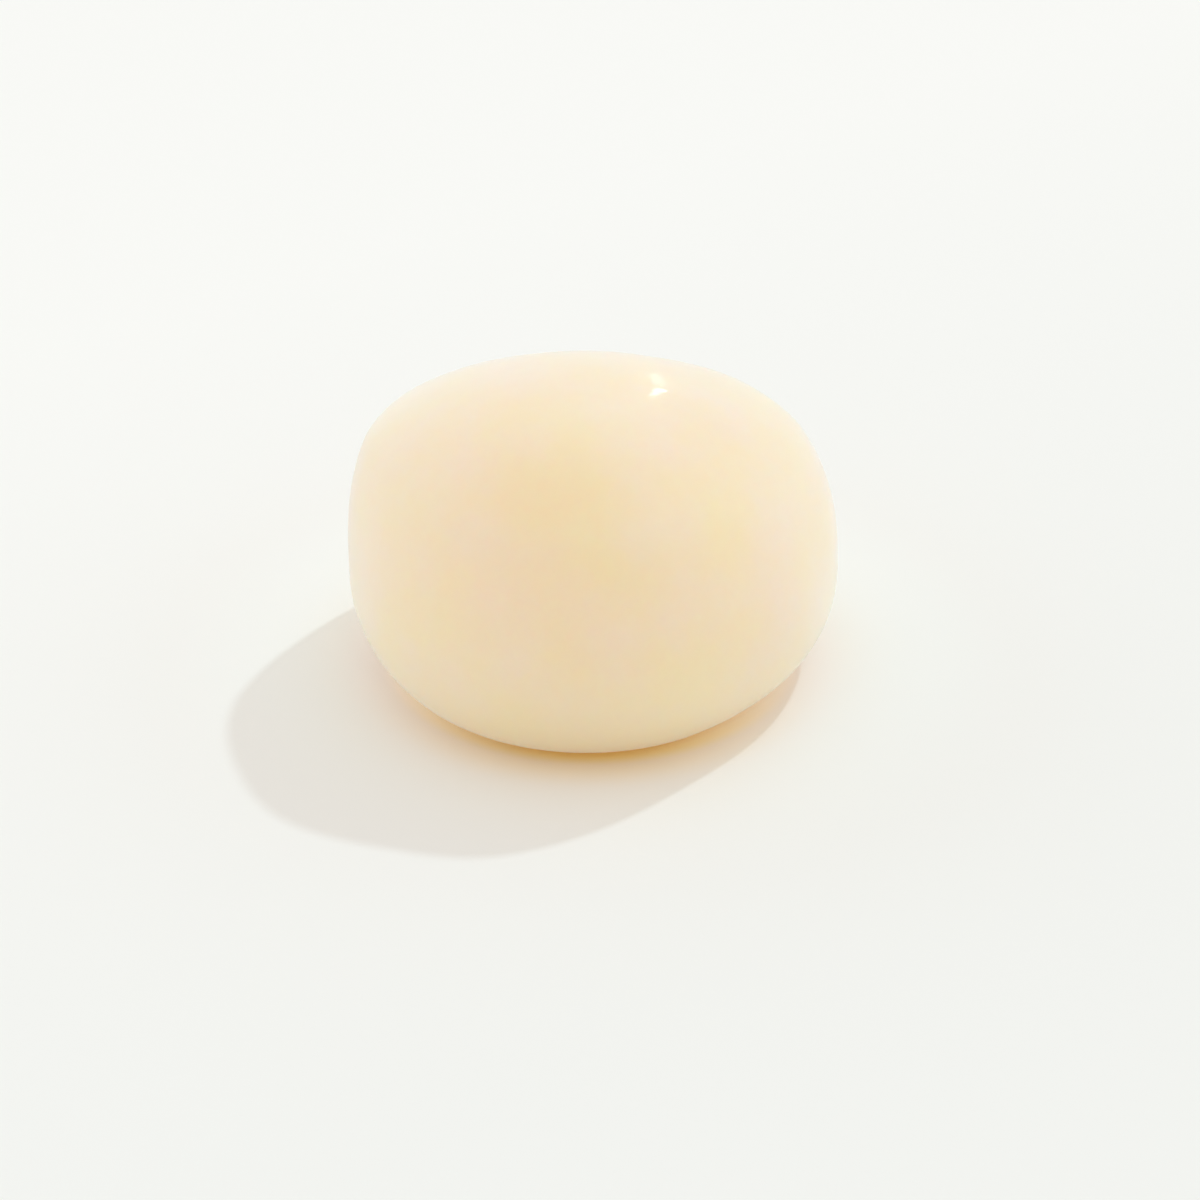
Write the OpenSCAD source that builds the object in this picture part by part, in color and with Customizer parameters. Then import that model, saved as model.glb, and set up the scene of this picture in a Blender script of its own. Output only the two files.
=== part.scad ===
// Shaving soap puck: one poured and hand-smoothed cake of soap.
// It has a domed crown, a soft shoulder, a bulged wall that draws in below
// the girth, and a flat foot that it rests on. The plan is slightly out of
// round, because the cake was rolled and pressed by hand.
// Origin: where the axis meets the flat foot. +Z is up and -Y is the front.

/* [Height] */
// Height from the foot to the top of the crown
puck_h = 40; // [36:0.5:45]
// Height of the girth, the widest line round the puck
girth_h = 11.5; // [8:0.5:14]

/* [Plan] */
// Reach of the girth from the axis towards the right back
reach_right = 36.5; // [33:0.5:40]
// Reach of the girth from the axis towards the left front
reach_left = 28.5; // [26:0.5:32]
// Reach of the girth from the axis towards the left back
reach_back = 34.5; // [31:0.5:38]
// Reach of the girth from the axis towards the right front
reach_front = 29; // [26:0.5:32]
// Turn of the four reaches about the axis, in degrees
press_turn = 36; // [0:1:90]

/* [Crown] */
// Rise of the wall's normal where it meets the shoulder, in degrees
wall_rise = 24; // [18:1:32]
// Rise of the shoulder's normal where it meets the crown, in degrees
crown_rise = 55; // [50:1:60]
// Radius of the shoulder between the wall and the crown
shoulder_r = 8.5; // [5:0.5:14]
// How far the top of the crown sits to the right of the foot's centre
crown_off_x = -1.5; // [-6:0.5:6]
// How far the top of the crown sits behind the foot's centre
crown_off_y = 2; // [-6:0.5:6]

/* [Hidden] */

// Facets of a full circle
$fn = 180;

// Radius of the round section that is then stretched to the four reaches
girth_r = (reach_right + reach_left + reach_back + reach_front) / 4;

// The crown's rise above its rim, as a share of the rim's radius
crown_share = (1 - sin(crown_rise)) / cos(crown_rise);

// What the shoulder takes of the radius and of the height
shoulder_in = shoulder_r * (cos(wall_rise) - cos(crown_rise));
shoulder_up = shoulder_r * (sin(crown_rise) - sin(wall_rise));

// Radius of the wall's arc, which makes up the height that is left
wall_height = puck_h - girth_h - shoulder_up - crown_share * (girth_r - shoulder_in);
wall_r = wall_height / (sin(wall_rise) - crown_share * (1 - cos(wall_rise)));

// Radius of the crown's arc, which is centred on the axis
crown_rim = girth_r - wall_r * (1 - cos(wall_rise)) - shoulder_in;
crown_r = crown_rim / cos(crown_rise);

// Centres of the four arcs, as [distance from the axis, height]
foot_centre = [girth_r - girth_h, girth_h];
wall_centre = [girth_r - wall_r, girth_h];
shoulder_centre = wall_centre + (wall_r - shoulder_r) * [cos(wall_rise), sin(wall_rise)];
crown_centre = [0, puck_h - crown_r];

// How far the puck leans for each millimetre of height
lean_x = crown_off_x / puck_h;
lean_y = crown_off_y / puck_h;

// Overlap that joins each small arc cleanly to the large ones beside it
seam = 0.0005;

// Spare depth under the foot, which the level cut takes off
foot_spare = 1;

// Sector of a disc between two angles, no wider than a right angle
module sector(centre, r, from, to) {
    mid = (from + to) / 2;
    far = 1.5 * r;
    translate(centre)
        intersection() {
            circle(r = r);
            polygon([
                [0, 0],
                far * [cos(from), sin(from)],
                far * [cos(mid), sin(mid)],
                far * [cos(to), sin(to)]
            ]);
        }
}

// Half of the round section, to the right of the axis
module half_section() {
    intersection() {
        union() {
            translate([0, -foot_spare])
                square([foot_centre.x, girth_h + foot_spare]);
            translate(foot_centre)
                circle(r = girth_h + seam);
            sector(wall_centre, wall_r, 0, wall_rise);
            translate(shoulder_centre)
                circle(r = shoulder_r + seam);
            sector(crown_centre, crown_r, crown_rise, 90);
        }
        translate([0, -foot_spare])
            square([2 * girth_r, 2 * puck_h]);
    }
}

// Quarter of the puck, from one reach round to the next
module quarter(turn, first, second) {
    along_x = abs(cos(turn)) > 0.5 ? first : second;
    along_y = abs(cos(turn)) > 0.5 ? second : first;
    scale([along_x / girth_r, along_y / girth_r, 1])
        rotate(turn)
            rotate_extrude(angle = 90)
                half_section();
}

// The four quarters as one body, pressed out of round
module pressed_body() {
    rotate(press_turn)
        union() {
            quarter(0, reach_right, reach_back);
            quarter(90, reach_back, reach_left);
            quarter(180, reach_left, reach_front);
            quarter(270, reach_front, reach_right);
        }
}

// The body leant over on its foot, and cut level underneath
module soap_puck() {
    color("#f3e0c2")
        intersection() {
            multmatrix([
                [1, 0, lean_x, 0],
                [0, 1, lean_y, 0],
                [0, 0, 1, 0],
                [0, 0, 0, 1]
            ])
                pressed_body();
            translate([-2 * girth_r, -2 * girth_r, 0])
                cube([4 * girth_r, 4 * girth_r, 2 * puck_h]);
        }
}

soap_puck();
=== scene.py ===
import math

import bmesh
import bpy
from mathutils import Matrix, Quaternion, Vector


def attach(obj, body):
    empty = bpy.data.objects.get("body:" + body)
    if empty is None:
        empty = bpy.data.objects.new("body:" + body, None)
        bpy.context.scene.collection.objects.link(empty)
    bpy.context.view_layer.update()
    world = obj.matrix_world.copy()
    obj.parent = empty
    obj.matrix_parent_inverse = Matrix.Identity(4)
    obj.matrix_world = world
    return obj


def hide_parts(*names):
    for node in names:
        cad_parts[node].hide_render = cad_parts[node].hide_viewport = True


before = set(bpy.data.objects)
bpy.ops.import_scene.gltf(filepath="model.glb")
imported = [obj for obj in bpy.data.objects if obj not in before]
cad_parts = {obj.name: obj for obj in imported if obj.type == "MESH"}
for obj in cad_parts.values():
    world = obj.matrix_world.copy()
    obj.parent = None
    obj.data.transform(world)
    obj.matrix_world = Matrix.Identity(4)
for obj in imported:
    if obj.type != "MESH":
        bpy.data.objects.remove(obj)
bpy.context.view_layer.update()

# All sizes are in metres and all angles in degrees.
MM = 0.001
# Two points nearer to each other than this are taken as one
TOUCHING = 0.001 * MM

# The puck, with the same driving sizes as its solid: its height, the height of its
# girth, and how far it reaches to each side before those four reaches are turned
PUCK_H = 40 * MM
GIRTH_H = 11.5 * MM
REACH_RIGHT = 36.5 * MM
REACH_LEFT = 28.5 * MM
REACH_BACK = 34.5 * MM
REACH_FRONT = 29 * MM
PRESS_TURN = 36
# How far up the surface faces where the wall meets the shoulder, and where the
# shoulder meets the crown
WALL_RISE = 24
CROWN_RISE = 55
SHOULDER_R = 8.5 * MM
# How far the crown leans over from the foot
CROWN_OFF = Vector((-1.5 * MM, 2 * MM, 0))

# How finely the section's arcs and the round body are divided
ARC_STEP = 0.9 * MM
ROUND_STEPS = 192

# Hand smoothing leaves the surface a little uneven: how deep, and how far apart
HAND_DEPTH = 0.35 * MM
HAND_SPACING = 17 * MM
# Height above the foot at which that unevenness reaches its full depth
HAND_FADE = 6 * MM

# The heart of the cake, from which the places of the presses are counted
HEART = Vector((0, 0, 14 * MM))
# Where thumbs and palms have pressed the cake: the place's azimuth and elevation
# from the heart, how wide the press is, and how far it stands proud (or is sunk)
PRESSES = (
    # A soft ridge that runs down the right of the front
    (-70, 60, 17 * MM, 1.0 * MM),
    (-50, 33, 17 * MM, 0.8 * MM),
    (-80, 28, 12 * MM, 0.6 * MM),
    (-65, 10, 16 * MM, 1.0 * MM),
    # A shallow hollow to the left of it
    (-110, 37, 16 * MM, -1.0 * MM),
    # The crown
    (90, 60, 17 * MM, 0.3 * MM),
    (-110, 60, 17 * MM, 0.2 * MM),
    # The shoulder, fuller at both sides and behind
    (160, 24, 17 * MM, 0.9 * MM),
    (130, 38, 14 * MM, 0.35 * MM),
    (50, 33, 14 * MM, 0.4 * MM),
    (18, 14, 16 * MM, 0.75 * MM),
    # The slope from the crown down to the shoulder, at both sides
    (180, 50, 15 * MM, 0.4 * MM),
    (0, 48, 15 * MM, 0.4 * MM),
    # Round the girth
    (-145, 8, 17 * MM, 0.2 * MM),
    (-115, 8, 17 * MM, 0.4 * MM),
    (-90, 8, 17 * MM, -0.2 * MM),
    (-5, 8, 17 * MM, -0.5 * MM),
)

# The soap: its two creams, its curds, and the painted shade low down, a deeper and
# warmer tone
CREAM_YELLOWER = "#fee0b9"
CREAM_PINKER = "#fddfc6"
CURD_TONE = "#f9d2a2"
PAINTED_LOW_SHADE_TONE = "#fed8a0"
# How far apart its patches, curds and dimples are, how far the patches are moved,
# how high the painted low shade reaches, and how deep the dimples are
PATCH_SPACING = 12 * MM
PATCHES_MOVED = (-41 * MM, 36 * MM, -43 * MM)
CURD_SPACING = 2.2 * MM
PAINTED_LOW_SHADE_H = 14 * MM
DIMPLE_SPACING = 5 * MM
DIMPLE_DEPTH = 0.1 * MM
# How far light travels inside it, the most of all for red and the least for blue
LIGHT_DEPTH = 31 * MM
LIGHT_SHARES = (1.0, 0.72, 0.44)

# The paper, with painted light: its colour grows a little lighter along one way,
# towards the back and the left
FLOOR_SIZE = 6
PAPER_PAINTED_DIMMER = "#f5f3ed"
PAPER_PAINTED_LIGHTER = "#fbf8f2"
PAINTED_LIGHT_WAY = (-0.656, 0.755, 0)
PAINTED_LIGHT_FROM = -60 * MM
PAINTED_LIGHT_TO = 137 * MM
# The painted glow on the paper round the foot of the puck, a tint and an emission
# in place of light that came through the soap. Each of its three fades is a row of
# stops: the distance from the centre, as a part of the reach, and the colour.
GLOW_CENTRE = (1.0 * MM, 4.6 * MM, 0)
GLOW_REACH = 60 * MM
GLOW_TINT = (
    (0.44, (1, 0.97, 0.53, 1)),
    (0.48, (1, 0.96, 0.84, 1)),
    (0.57, (1, 1, 1, 1)),
)
FRONT_LIGHT = (
    (0.42, (0.11, 0.035, 0, 1)),
    (0.48, (0.02, 0.012, 0.005, 1)),
    (0.6, (0.015, 0.02, 0.015, 1)),
    (0.95, (0, 0, 0, 1)),
)
SIDE_LIGHT = (
    (0.42, (0.14, 0.13, 0.13, 1)),
    (0.48, (0.02, 0.04, 0.075, 1)),
    (0.6, (0.015, 0.05, 0.06, 1)),
    (1.0, (0, 0, 0, 1)),
)


def towards(azimuth, elevation):
    """The direction with this elevation and azimuth, counted from +X towards +Y."""
    a, e = math.radians(azimuth), math.radians(elevation)
    return Vector((math.cos(e) * math.cos(a), math.cos(e) * math.sin(a), math.sin(e)))


def ready():
    """Leaves edit mode and deselects everything, so that operators act on one piece."""
    if bpy.context.object and bpy.context.object.mode == "EDIT":
        bpy.ops.object.mode_set(mode="OBJECT")
    bpy.ops.object.select_all(action="DESELECT")


def select_where(puck, test):
    """Selects the vertices of the piece in edit mode whose place passes the test."""
    mesh = bmesh.from_edit_mesh(puck.data)
    for vertex in mesh.verts:
        vertex.select = test(vertex.co)
    mesh.select_flush_mode()
    bmesh.update_edit_mesh(puck.data)


def sweep_arc(centre, radius, turn):
    """Sweeps the selected end of the section about a centre, on down its outline."""
    bpy.ops.mesh.spin(
        steps=round(radius * math.radians(turn) / ARC_STEP),
        angle=math.radians(turn),
        center=(centre.x, 0, centre.y),
        axis=(0, -1, 0),
    )


def make_section():
    """Draws the puck's half section, from the middle of its crown to that of its foot.

    It is four arcs, each tangent to the next, and the flat of the foot. The mean
    radius at the girth is returned with it.
    """
    girth_r = (REACH_RIGHT + REACH_LEFT + REACH_BACK + REACH_FRONT) / 4
    wall, crown = math.radians(WALL_RISE), math.radians(CROWN_RISE)
    shoulder_in = SHOULDER_R * (math.cos(wall) - math.cos(crown))
    shoulder_up = SHOULDER_R * (math.sin(crown) - math.sin(wall))
    # The crown rises by this share of its rim's radius. The wall takes the height
    # that is left, and the less it draws in, the wider and higher the crown is.
    share = (1 - math.sin(crown)) / math.cos(crown)
    wall_h = PUCK_H - GIRTH_H - shoulder_up - share * (girth_r - shoulder_in)
    wall_r = wall_h / (math.sin(wall) - share * (1 - math.cos(wall)))
    crown_rim = girth_r - wall_r * (1 - math.cos(wall)) - shoulder_in
    crown_r = crown_rim / math.cos(crown)

    foot_centre = Vector((girth_r - GIRTH_H, GIRTH_H))
    wall_centre = Vector((girth_r - wall_r, GIRTH_H))
    along = Vector((math.cos(wall), math.sin(wall)))
    shoulder_centre = wall_centre + (wall_r - SHOULDER_R) * along
    crown_centre = Vector((0, PUCK_H - crown_r))

    # It starts as a single point on the crown: a small plane merged at its centre
    ready()
    bpy.ops.mesh.primitive_plane_add(size=MM, location=(0, 0, PUCK_H))
    bpy.ops.object.transform_apply()
    puck = bpy.context.object
    puck.name = "soap_cake"
    bpy.ops.object.mode_set(mode="EDIT")
    bpy.ops.mesh.select_all(action="SELECT")
    bpy.ops.mesh.merge(type="CENTER")
    sweep_arc(crown_centre, crown_r, 90 - CROWN_RISE)
    sweep_arc(shoulder_centre, SHOULDER_R, CROWN_RISE - WALL_RISE)
    sweep_arc(wall_centre, wall_r, WALL_RISE)
    sweep_arc(foot_centre, GIRTH_H, 90)
    # The flat of the foot, in two steps
    for _ in range(2):
        bpy.ops.mesh.extrude_region_move(
            TRANSFORM_OT_translate={"value": (-foot_centre.x / 2, 0, 0)}
        )
    return puck, girth_r


def turn_body(puck):
    """Turns the section into the round body and closes its seam and poles."""
    bpy.ops.mesh.select_all(action="SELECT")
    bpy.ops.mesh.spin(
        steps=ROUND_STEPS, angle=2 * math.pi, center=(0, 0, 0), axis=(0, 0, 1)
    )
    bpy.ops.mesh.select_all(action="SELECT")
    bpy.ops.mesh.remove_doubles(threshold=TOUCHING)
    bpy.ops.mesh.normals_make_consistent(inside=False)


def press_out_of_round(puck, girth_r):
    """Stretches each side of the body to its own reach, then turns the body."""
    sides = (
        (lambda co: co.x > TOUCHING, (REACH_RIGHT / girth_r, 1, 1)),
        (lambda co: co.x < -TOUCHING, (REACH_LEFT / girth_r, 1, 1)),
        (lambda co: co.y > TOUCHING, (1, REACH_BACK / girth_r, 1)),
        (lambda co: co.y < -TOUCHING, (1, REACH_FRONT / girth_r, 1)),
    )
    for test, stretch in sides:
        select_where(puck, test)
        bpy.ops.transform.resize(value=stretch, center_override=(0, 0, 0))
    bpy.ops.mesh.select_all(action="SELECT")
    bpy.ops.transform.rotate(
        value=-math.radians(PRESS_TURN),
        orient_axis="Z",
        center_override=(0, 0, 0),
    )
    bpy.ops.object.mode_set(mode="OBJECT")


def lean(puck):
    """Leans the body on its foot with a cage of eight points: the upper four move."""
    ready()
    cage_w = 2 * REACH_RIGHT
    bpy.ops.object.add(type="LATTICE", location=(0, 0, PUCK_H / 2))
    cage = bpy.context.object
    cage.scale = (cage_w, cage_w, PUCK_H)
    cage.data.interpolation_type_u = "KEY_LINEAR"
    cage.data.interpolation_type_v = "KEY_LINEAR"
    cage.data.interpolation_type_w = "KEY_LINEAR"
    for point in cage.data.points:
        if point.co.z > 0:
            point.co_deform += CROWN_OFF / cage_w
    ready()
    puck.select_set(True)
    bpy.context.view_layer.objects.active = puck
    leaning = puck.modifiers.new("lean", "LATTICE")
    leaning.object = cage
    bpy.ops.object.modifier_apply(modifier=leaning.name)
    bpy.data.objects.remove(cage)


def press_by_hand(puck):
    """Presses the cake in or draws it out at each place, as thumbs and palms do."""
    ready()
    puck.select_set(True)
    bpy.context.view_layer.objects.active = puck
    bpy.ops.object.mode_set(mode="EDIT")
    for azimuth, elevation, width, proud in PRESSES:
        way = towards(azimuth, elevation)
        mesh = bmesh.from_edit_mesh(puck.data)
        middle = max(mesh.verts, key=lambda v: (v.co - HEART).normalized().dot(way))
        out = middle.normal.copy()
        select_where(puck, lambda co: co == middle.co)
        bpy.ops.transform.translate(
            value=proud * out,
            use_proportional_edit=True,
            proportional_edit_falloff="SMOOTH",
            proportional_size=width,
        )
    bpy.ops.object.mode_set(mode="OBJECT")


def smooth_by_hand(puck):
    """Presses the surface in very slightly here and there, but not at the foot."""
    touched = puck.vertex_groups.new(name="touched")
    for vertex in puck.data.vertices:
        touched.add([vertex.index], min(1, vertex.co.z / HAND_FADE), "REPLACE")
    unevenness = bpy.data.textures.new("hand_unevenness", "CLOUDS")
    unevenness.noise_scale = HAND_SPACING
    unevenness.noise_depth = 1
    press = puck.modifiers.new("press", "DISPLACE")
    press.texture = unevenness
    press.texture_coords = "LOCAL"
    press.vertex_group = touched.name
    press.strength = HAND_DEPTH
    # The surface stands still where the clouds are brightest, and else is pressed in
    press.mid_level = 1
    bpy.ops.object.modifier_apply(modifier=press.name)


def linear(colour):
    """Linear RGBA of an sRGB hex colour."""
    channels = [int(colour[i : i + 2], 16) / 255 for i in (1, 3, 5)]
    return [
        c / 12.92 if c <= 0.04045 else ((c + 0.055) / 1.055) ** 2.4 for c in channels
    ] + [1]


def add(tree, kind, inputs=None, **settings):
    """Adds a node, gives it its settings, and sets or links its inputs."""
    made = tree.nodes.new(kind)
    for name, value in settings.items():
        setattr(made, name, value)
    for name, value in (inputs or {}).items():
        if isinstance(value, bpy.types.NodeSocket):
            tree.links.new(value, made.inputs[name])
        else:
            made.inputs[name].default_value = value
    return made


def new_material(name):
    """An empty node material, and its node tree."""
    material = bpy.data.materials.new(name)
    material.use_nodes = True
    material.node_tree.nodes.clear()
    return material, material.node_tree


def poured_soap():
    """Poured glycerine-rich shaving soap, smoothed by hand.

    It gives a creamy body that light sinks into, under a thin waxy gloss.
    """
    material, tree = new_material("poured_cream_soap")
    place = add(tree, "ShaderNodeTexCoord").outputs["Object"]
    # Cloudy patches, where the cream cooled a little yellower or a little pinker,
    # moved so that a yellower one lies in the middle of the front
    moved = add(
        tree,
        "ShaderNodeMapping",
        {"Vector": place, "Location": PATCHES_MOVED},
    ).outputs["Vector"]
    patches = add(
        tree,
        "ShaderNodeTexNoise",
        {"Vector": moved, "Scale": 1 / PATCH_SPACING, "Detail": 2, "Roughness": 0.5},
    )
    clouds = add(
        tree,
        "ShaderNodeMapRange",
        {"Value": patches.outputs["Fac"], "From Min": 0.35, "From Max": 0.65},
    )
    cream = add(
        tree,
        "ShaderNodeMix",
        {
            "Factor": clouds.outputs["Result"],
            "A": linear(CREAM_YELLOWER),
            "B": linear(CREAM_PINKER),
        },
        data_type="RGBA",
    )
    # Fine mottling, from soap curds that never quite melted together
    curds = add(
        tree,
        "ShaderNodeTexNoise",
        {"Vector": place, "Scale": 1 / CURD_SPACING, "Detail": 3, "Roughness": 0.6},
    )
    mottle = add(
        tree,
        "ShaderNodeMapRange",
        {
            "Value": curds.outputs["Fac"],
            "From Min": 0.3,
            "From Max": 0.7,
            "To Min": 0.0,
            "To Max": 0.12,
        },
    )
    body = add(
        tree,
        "ShaderNodeMix",
        {
            "Factor": mottle.outputs["Result"],
            "A": cream.outputs["Result"],
            "B": linear(CURD_TONE),
        },
        data_type="RGBA",
    )
    # Painted shade: low down the colour is made deeper and warmer, in place of light
    # that has come the longest way through the soap
    height = add(tree, "ShaderNodeSeparateXYZ", {"Vector": place}).outputs["Z"]
    low = add(
        tree,
        "ShaderNodeMapRange",
        {
            "Value": height,
            "From Min": 0.0,
            "From Max": PAINTED_LOW_SHADE_H,
            "To Min": 1.0,
            "To Max": 0.0,
        },
        interpolation_type="SMOOTHSTEP",
    )
    painted_low_shade = add(
        tree,
        "ShaderNodeMix",
        {
            "Factor": low.outputs["Result"],
            "A": body.outputs["Result"],
            "B": linear(PAINTED_LOW_SHADE_TONE),
        },
        data_type="RGBA",
    )
    # The surface is a little duller where fingers dragged it
    drag = add(
        tree,
        "ShaderNodeMapRange",
        {
            "Value": patches.outputs["Fac"],
            "From Min": 0.3,
            "From Max": 0.7,
            "To Min": 0.3,
            "To Max": 0.4,
        },
    )
    # Finger dimples, so shallow that only the gloss shows them
    dimples = add(
        tree,
        "ShaderNodeTexNoise",
        {
            "Vector": place,
            "Scale": 1 / DIMPLE_SPACING,
            "Detail": 2,
            "Roughness": 0.45,
        },
    )
    relief = add(
        tree,
        "ShaderNodeBump",
        {
            "Strength": 0.25,
            "Distance": DIMPLE_DEPTH,
            "Height": dimples.outputs["Fac"],
        },
    )
    soap = add(
        tree,
        "ShaderNodeBsdfPrincipled",
        {
            "Base Color": painted_low_shade.outputs["Result"],
            "Roughness": drag.outputs["Result"],
            "IOR": 1.42,
            "Subsurface Weight": 1.0,
            "Subsurface Radius": LIGHT_SHARES,
            "Subsurface Scale": LIGHT_DEPTH,
            "Coat Weight": 0.35,
            "Coat Roughness": 0.06,
            "Coat IOR": 1.4,
            "Sheen Weight": 0.5,
            "Sheen Roughness": 0.6,
            "Normal": relief.outputs["Normal"],
            "Coat Normal": relief.outputs["Normal"],
        },
    )
    add(tree, "ShaderNodeOutputMaterial", {"Surface": soap.outputs["BSDF"]})
    return material


def matt_paper():
    """Matt background paper, with painted light: lighter one way, and a painted warm
    glow round the foot for light that came through the soap.
    """
    material, tree = new_material("matt_paper")
    place = add(tree, "ShaderNodeTexCoord").outputs["Object"]
    # Painted light: the paper's colour grows lighter towards the back and the left
    along = add(
        tree,
        "ShaderNodeVectorMath",
        {0: place, 1: PAINTED_LIGHT_WAY},
        operation="DOT_PRODUCT",
    )
    depth = add(
        tree,
        "ShaderNodeMapRange",
        {
            "Value": along.outputs["Value"],
            "From Min": PAINTED_LIGHT_FROM,
            "From Max": PAINTED_LIGHT_TO,
        },
    )
    tone = add(
        tree,
        "ShaderNodeMix",
        {
            "Factor": depth.outputs["Result"],
            "A": linear(PAPER_PAINTED_DIMMER),
            "B": linear(PAPER_PAINTED_LIGHTER),
        },
        data_type="RGBA",
    )
    outwards = add(
        tree,
        "ShaderNodeVectorMath",
        {0: place, 1: GLOW_CENTRE},
        operation="SUBTRACT",
    ).outputs["Vector"]
    far = add(tree, "ShaderNodeVectorMath", {0: outwards}, operation="LENGTH")
    reach = add(
        tree,
        "ShaderNodeMath",
        {0: far.outputs["Value"], 1: GLOW_REACH},
        operation="DIVIDE",
    ).outputs["Value"]
    # How squarely a place lies in front of the puck: 1 in front, 0 beside or behind
    heading = add(
        tree, "ShaderNodeVectorMath", {0: outwards}, operation="NORMALIZE"
    ).outputs["Vector"]
    ahead = add(
        tree,
        "ShaderNodeVectorMath",
        {0: heading, 1: (0, -1, 0)},
        operation="DOT_PRODUCT",
    )
    forward = add(
        tree,
        "ShaderNodeMath",
        {0: ahead.outputs["Value"], 1: 0},
        operation="MAXIMUM",
    ).outputs["Value"]
    in_front = add(
        tree, "ShaderNodeMath", {0: forward, 1: forward}, operation="MULTIPLY"
    ).outputs["Value"]
    # How the painted glow's tint and its two painted lights fall off with distance from
    # the puck
    fades = []
    for stops in (GLOW_TINT, FRONT_LIGHT, SIDE_LIGHT):
        fade = add(tree, "ShaderNodeValToRGB", {"Fac": reach})
        fade.color_ramp.interpolation = "EASE"
        while len(fade.color_ramp.elements) < len(stops):
            fade.color_ramp.elements.new(1)
        for element, (position, colour) in zip(fade.color_ramp.elements, stops):
            element.position = position
            element.color = colour
        fades.append(fade.outputs["Color"])
    tint, front_light, side_light = fades
    # Painted tint and glow round the foot, as colour and emission on the paper
    warmed = add(
        tree,
        "ShaderNodeMix",
        {
            "Factor": in_front,
            "A": tone.outputs["Result"],
            "B": tint,
        },
        data_type="RGBA",
        blend_type="MULTIPLY",
    )
    glow = add(
        tree,
        "ShaderNodeMix",
        {
            "Factor": in_front,
            "A": side_light,
            "B": front_light,
        },
        data_type="RGBA",
    )
    paper = add(
        tree,
        "ShaderNodeBsdfPrincipled",
        {
            "Base Color": warmed.outputs["Result"],
            "Roughness": 0.9,
            "Emission Color": glow.outputs["Result"],
            "Emission Strength": 1,
        },
    )
    add(tree, "ShaderNodeOutputMaterial", {"Surface": paper.outputs["BSDF"]})
    return material


# The puck
puck, girth_r = make_section()
turn_body(puck)
press_out_of_round(puck, girth_r)
lean(puck)
press_by_hand(puck)
smooth_by_hand(puck)
bpy.ops.object.shade_smooth()
puck.data.materials.clear()
puck.data.materials.append(poured_soap())
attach(puck, "root")
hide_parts("soap_puck")

# The paper that it stands on
ready()
bpy.ops.mesh.primitive_plane_add(size=FLOOR_SIZE)
floor = bpy.context.object
floor.name = "paper"
floor.data.materials.append(matt_paper())

# Soft light from all round, a little stronger from both sides and from behind: its
# strength, how that grows along each axis, and how it grows with each one's square
SKY_LIGHT = 0.8
SKY_SLOPE = (-0.015, 0.11, 0.0)
SKY_SIDES = (0.35, 0, -0.045)
SKY_TONE = "#ffffff"
# The even pale tone of the room itself
ROOM_TONE = "#f7f8f5"
world = bpy.data.worlds.new("studio")
bpy.context.scene.world = world
world.use_nodes = True
room = world.node_tree
way = add(room, "ShaderNodeTexCoord").outputs["Generated"]
slope = add(
    room,
    "ShaderNodeVectorMath",
    {0: way, 1: SKY_SLOPE},
    operation="DOT_PRODUCT",
)
square = add(room, "ShaderNodeVectorMath", {0: way, 1: way}, operation="MULTIPLY")
sides = add(
    room,
    "ShaderNodeVectorMath",
    {0: square.outputs["Vector"], 1: SKY_SIDES},
    operation="DOT_PRODUCT",
)
both = add(
    room,
    "ShaderNodeMath",
    {0: slope.outputs["Value"], 1: sides.outputs["Value"]},
    operation="ADD",
)
level = add(
    room, "ShaderNodeMath", {0: both.outputs["Value"], 1: SKY_LIGHT}, operation="ADD"
)
sky = room.nodes["Background"]
sky.inputs["Color"].default_value = linear(SKY_TONE)
room.links.new(level.outputs["Value"], sky.inputs["Strength"])
# Seen directly or in a gloss, the room has only that one tone
rays = add(room, "ShaderNodeLightPath").outputs
seen = add(
    room,
    "ShaderNodeMath",
    {0: rays["Is Camera Ray"], 1: rays["Is Glossy Ray"]},
    operation="MAXIMUM",
)
shown = add(
    room,
    "ShaderNodeMath",
    {0: seen.outputs["Value"], 1: rays["Is Transmission Ray"]},
    operation="MAXIMUM",
)
backdrop = add(
    room, "ShaderNodeBackground", {"Color": linear(ROOM_TONE), "Strength": 1.0}
)
surround = add(
    room,
    "ShaderNodeMixShader",
    {
        0: shown.outputs["Value"],
        1: sky.outputs["Background"],
        2: backdrop.outputs["Background"],
    },
)
room.links.new(
    surround.outputs["Shader"], room.nodes["World Output"].inputs["Surface"]
)

# The key light, high at the right and behind, and a little cool. The soap's gloss
# doesn't show it, because its bright spot would lie elsewhere on the crown.
KEY_AZIMUTH, KEY_ELEVATION = 50.1, 47.8
KEY_STRENGTH = 0.72
KEY_TONE = "#d7f0ff"
# How wide it looks, which softens the shadow's edge
KEY_WIDTH = 2.5
key_data = bpy.data.lights.new("key", "SUN")
key_data.energy = KEY_STRENGTH
key_data.color = linear(KEY_TONE)[:3]
key_data.angle = math.radians(KEY_WIDTH)
key = bpy.data.objects.new("key", key_data)
key.visible_glossy = False
bpy.context.scene.collection.objects.link(key)
key.rotation_mode = "QUATERNION"
key.rotation_quaternion = towards(KEY_AZIMUTH, KEY_ELEVATION).to_track_quat("Z", "Y")

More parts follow.
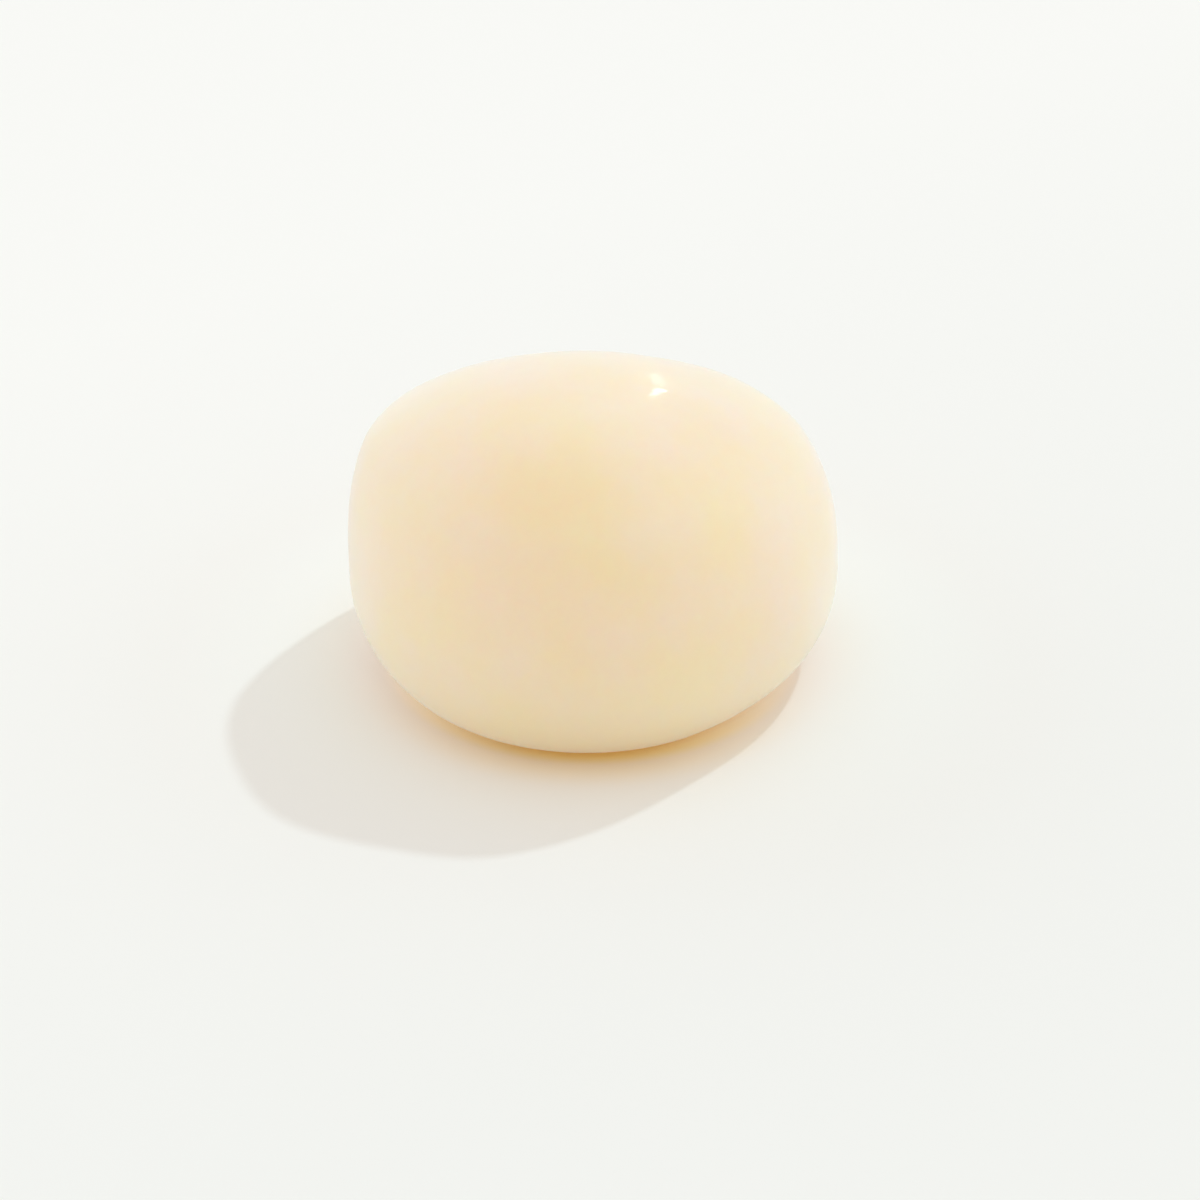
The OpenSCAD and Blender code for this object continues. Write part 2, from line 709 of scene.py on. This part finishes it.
# Two small lamps low behind, which only glossy surfaces see: a round one makes
# the bright spot on the crown, and a long faint one the streak beyond it. Each has
# an azimuth, an elevation, a lean, a width, a height and a power in watts.
GLINTS = (
    (78.1, 22.4, 27, 16 * MM, 22 * MM, 0.018),
    (80.6, 14.4, 14, 13 * MM, 138 * MM, 0.012),
)
# The bright spot's place on the crown, and how far from it the lamps stand
GLINT_PLACE = Vector((9.4 * MM, 3 * MM, 38.7 * MM))
GLINT_DISTANCE = 0.6
for azimuth, elevation, leaning, width, height, power in GLINTS:
    glint_data = bpy.data.lights.new("glint", "AREA")
    glint_data.shape = "ELLIPSE"
    glint_data.size = width
    glint_data.size_y = height
    glint_data.energy = power
    glint = bpy.data.objects.new("glint", glint_data)
    bpy.context.scene.collection.objects.link(glint)
    outward = towards(azimuth, elevation)
    glint.location = GLINT_PLACE + GLINT_DISTANCE * outward
    glint.rotation_mode = "QUATERNION"
    glint.rotation_quaternion = outward.to_track_quat("Z", "Y") @ Quaternion(
        (0, 0, 1), math.radians(leaning)
    )
    glint.visible_camera = False
    glint.visible_diffuse = False
    glint.visible_transmission = False
    glint.visible_volume_scatter = False

# The camera, in front and above
LOOK_AT = Vector((2.04 * MM, 18.35 * MM, 0))
CAMERA_ELEVATION = 29.14
CAMERA_DISTANCE = 367.2 * MM
# The focal length and the width of the sensor, which Blender takes in millimetres
CAMERA_LENS = 79.58
CAMERA_SENSOR = 36
# The camera sees nothing nearer than this
CAMERA_NEAR = 10 * MM
camera_data = bpy.data.cameras.new("camera")
camera_data.lens = CAMERA_LENS
camera_data.sensor_width = CAMERA_SENSOR
camera_data.clip_start = CAMERA_NEAR
camera = bpy.data.objects.new("camera", camera_data)
bpy.context.scene.collection.objects.link(camera)
back = towards(-90, CAMERA_ELEVATION)
camera.location = LOOK_AT + CAMERA_DISTANCE * back
camera.rotation_mode = "QUATERNION"
camera.rotation_quaternion = back.to_track_quat("Z", "Y")
bpy.context.scene.camera = camera
bpy.context.scene.view_settings.view_transform = "Standard"
